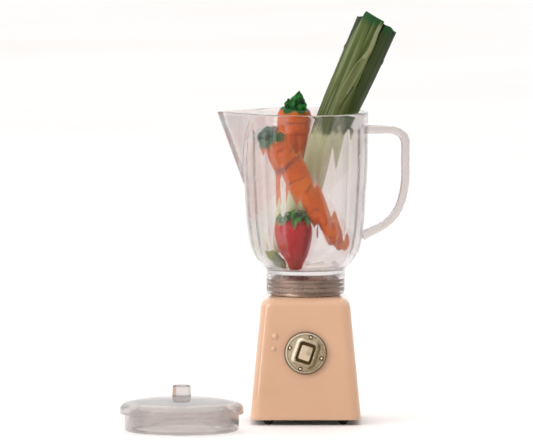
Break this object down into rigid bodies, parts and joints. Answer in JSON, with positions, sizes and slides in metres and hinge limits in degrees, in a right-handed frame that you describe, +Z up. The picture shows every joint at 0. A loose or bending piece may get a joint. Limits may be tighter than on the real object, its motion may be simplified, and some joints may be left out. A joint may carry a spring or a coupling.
{
  "type": "toy blender",
  "caption": "Miniature toy blender with a square tapered base, a turning dial with a push key, a clear spouted jug, a loose lid and play vegetables",
  "frame": {"origin": "on the jug's axis, on the surface that the feet stand on", "axes": "+X to the handle, -X to the spout, -Y to the dial, +Z up"},
  "size_m": [0.0644, 0.0516, 0.0908],
  "materials": {
    "base_paint": "peach gloss enamel",
    "base_plate_plastic": "fine matt",
    "screw_steel": "plain turned",
    "foot_rubber": "moulded, matt",
    "seat_metal": "turned, grey-brown",
    "dial_metal": "cast, grainy, darkened in the hollows",
    "rivet_metal": "polished heads",
    "key_metal": "cast, grainy",
    "spring_steel": "drawn wire",
    "jug_clear": "clear polished acrylic",
    "handle_clear": "clear polished acrylic",
    "lid_clear": "clear polished acrylic",
    "leek_resin": "painted and varnished",
    "carrot_resin": "painted and varnished",
    "strawberry_resin": "painted and varnished",
    "leaf_resin": "painted and varnished"
  },
  "bodies": {
    "base": {"casing": "base_paint", "base_plate": "base_plate_plastic", "base_screws": "screw_steel", "foot_front_left": "foot_rubber", "foot_front_right": "foot_rubber", "foot_back_left": "foot_rubber", "foot_back_right": "foot_rubber", "jug_seat": "seat_metal", "seat_washer": "screw_steel", "seat_screw": "screw_steel"},
    "dial": {"dial_plate": "dial_metal", "dial_rivets": "rivet_metal", "dial_nut": "screw_steel", "key_spring": "spring_steel"},
    "key": {"switch_key": "key_metal", "key_clip": "screw_steel"},
    "jug": {"jug": "jug_clear", "jug_handle": "handle_clear", "fallen_leaf": "leaf_resin"},
    "lid": {"lid": "lid_clear", "lid_knob": "lid_clear"},
    "leek": {"leek": "leek_resin"},
    "front_carrot": {"front_carrot": "carrot_resin"},
    "back_carrot": {"back_carrot": "carrot_resin"},
    "strawberry": {"strawberry": "strawberry_resin"}
  },
  "joints": [
    {"name": "dial_turn", "type": "hinge", "parent": "base", "child": "dial", "pos_m": [0, -0.01096, 0.016], "axis": [0, -0.9952, 0.098], "continuous": true},
    {"name": "key_press", "type": "slide", "parent": "dial", "child": "key", "axis": [0, 0.9952, -0.098], "range_m": [0, 0.0004], "stiffness_N_per_m": 200},
    {"name": "jug_lift", "type": "slide", "parent": "base", "child": "jug", "axis": [0, 0, 1], "range_m": [0, 0.02]},
    {"name": "lid_lift", "type": "slide", "parent": "base", "child": "lid", "axis": [0, 0, 1], "range_m": [0, 0.03]},
    {"name": "leek_pull", "type": "slide", "parent": "jug", "child": "leek", "axis": [0.4037, -0.0335, 0.9143], "range_m": [0, 0.042]},
    {"name": "back_carrot_pull", "type": "slide", "parent": "jug", "child": "back_carrot", "axis": [0.0837, -0.1515, 0.9849], "range_m": [0, 0.032]},
    {"name": "front_carrot_pull", "type": "slide", "parent": "jug", "child": "front_carrot", "axis": [0, -0.0797, 0.9968], "range_m": [0, 0.036]},
    {"name": "strawberry_pull", "type": "slide", "parent": "jug", "child": "strawberry", "axis": [0, -0.0797, 0.9968], "range_m": [0, 0.036]}
  ],
  "couplings": [
    {"joint": "strawberry_pull", "follows": "front_carrot_pull", "ratio": 1}
  ]
}
